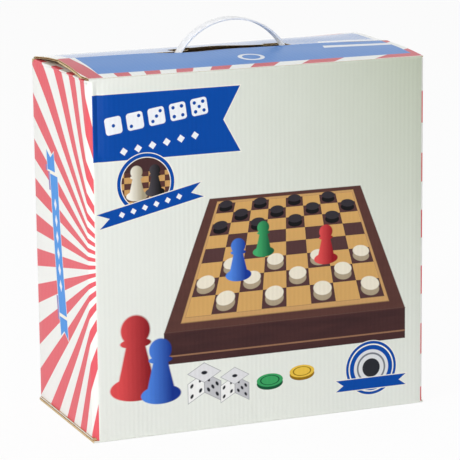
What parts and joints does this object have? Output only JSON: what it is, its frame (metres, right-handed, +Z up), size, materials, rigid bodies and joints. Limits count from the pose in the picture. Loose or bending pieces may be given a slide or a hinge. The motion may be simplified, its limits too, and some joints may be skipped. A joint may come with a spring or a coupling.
{
  "type": "games compendium box",
  "caption": "Upright printed corrugated carton with an arched plastic carry strap, holding a wooden games chest with an inlaid chess top, pull-out game boards and a drawer of pieces.",
  "frame": {"origin": "middle of the base that the carton stands on", "axes": "+Z up, the carton's large front face looks along -Y, its narrow sides face -X and +X"},
  "size_m": [0.265, 0.128, 0.2944],
  "materials": {
    "printed_board": "printed and varnished corrugated board",
    "kraft_board": "bare corrugated board, brown inside",
    "strap_plastic": "milky polyethylene",
    "chest_wood": "dark stained, satin lacquer",
    "inside_wood": "bare plywood and pine",
    "light_veneer": "satin lacquer",
    "dark_veneer": "satin lacquer",
    "stringing_wood": "satin lacquer",
    "game_board": "veneered both faces, satin",
    "light_pieces": "waxed",
    "dark_pieces": "waxed",
    "domino_plastic": "ivory coloured, engraved pips",
    "dice_plastic": "white, drilled pips",
    "card_paper": "varnished paper pack",
    "painted_sticks": "painted ends"
  },
  "bodies": {
    "carton": {"front_panel": "printed_board", "rear_panel": "printed_board", "left_panel": "printed_board", "right_panel": "printed_board", "glue_flap": "kraft_board", "bottom_front_flap": "printed_board", "bottom_rear_flap": "printed_board", "bottom_left_dust_flap": "kraft_board", "bottom_right_dust_flap": "kraft_board"},
    "front_flap": {"top_front_flap": "printed_board"},
    "rear_flap": {"top_rear_flap": "printed_board"},
    "left_dust_flap": {"top_left_dust_flap": "kraft_board"},
    "right_dust_flap": {"top_right_dust_flap": "kraft_board"},
    "strap": {"carry_strap": "strap_plastic"},
    "chest": {"chest_top_board": "chest_wood", "chess_squares_light": "light_veneer", "chess_squares_dark": "dark_veneer", "inlay_stringing": "stringing_wood", "chest_left_side": "chest_wood", "chest_right_side": "chest_wood", "chest_back_panel": "chest_wood", "chest_base_panel": "inside_wood", "chest_front_rail": "chest_wood", "carcass_dowels": "inside_wood"},
    "upper_board": {"upper_game_board": "game_board", "upper_board_lipping": "chest_wood"},
    "lower_board": {"lower_game_board": "game_board", "lower_board_lipping": "chest_wood"},
    "drawer": {"drawer_front": "chest_wood", "drawer_left_side": "inside_wood", "drawer_right_side": "inside_wood", "drawer_back": "inside_wood", "drawer_bottom": "inside_wood", "drawer_long_divider": "inside_wood", "drawer_cross_dividers": "inside_wood", "draughts_light": "light_pieces", "draughts_dark": "dark_pieces", "dominoes": "domino_plastic", "chess_men_light": "light_pieces", "chess_men_dark": "dark_pieces", "playing_cards": "card_paper", "pick_up_sticks": "painted_sticks", "dice": "dice_plastic"}
  },
  "joints": [
    {"name": "front_flap_fold", "type": "hinge", "parent": "carton", "child": "front_flap", "pos_m": [0, -0.064, 0.266], "axis": [1, 0, 0], "range_deg": [0, 230]},
    {"name": "rear_flap_fold", "type": "hinge", "parent": "carton", "child": "rear_flap", "pos_m": [0, 0.064, 0.266], "axis": [-1, 0, 0], "range_deg": [0, 230]},
    {"name": "left_dust_fold", "type": "hinge", "parent": "carton", "child": "left_dust_flap", "pos_m": [-0.1325, 0, 0.2644], "axis": [0, -1, 0], "range_deg": [0, 115]},
    {"name": "right_dust_fold", "type": "hinge", "parent": "carton", "child": "right_dust_flap", "pos_m": [0.1325, 0, 0.2644], "axis": [0, 1, 0], "range_deg": [0, 115]},
    {"name": "strap_sink", "type": "slide", "parent": "rear_flap", "child": "strap", "axis": [0, 0, -1], "range_m": [0, 0.008]},
    {"name": "chest_lift", "type": "slide", "parent": "carton", "child": "chest", "axis": [0, 0, 1], "range_m": [0, 0.008]},
    {"name": "upper_board_slide", "type": "slide", "parent": "chest", "child": "upper_board", "axis": [0, 0, 1], "range_m": [0, 0.015]},
    {"name": "lower_board_slide", "type": "slide", "parent": "chest", "child": "lower_board", "axis": [0, 0, 1], "range_m": [0, 0.015]},
    {"name": "drawer_slide", "type": "slide", "parent": "chest", "child": "drawer", "axis": [0, 0, 1], "range_m": [0, 0.015]}
  ],
  "couplings": [
    {"joint": "rear_flap_fold", "follows": "front_flap_fold", "ratio": 1},
    {"joint": "left_dust_fold", "follows": "front_flap_fold", "ratio": 0.5},
    {"joint": "right_dust_fold", "follows": "front_flap_fold", "ratio": 0.5}
  ]
}
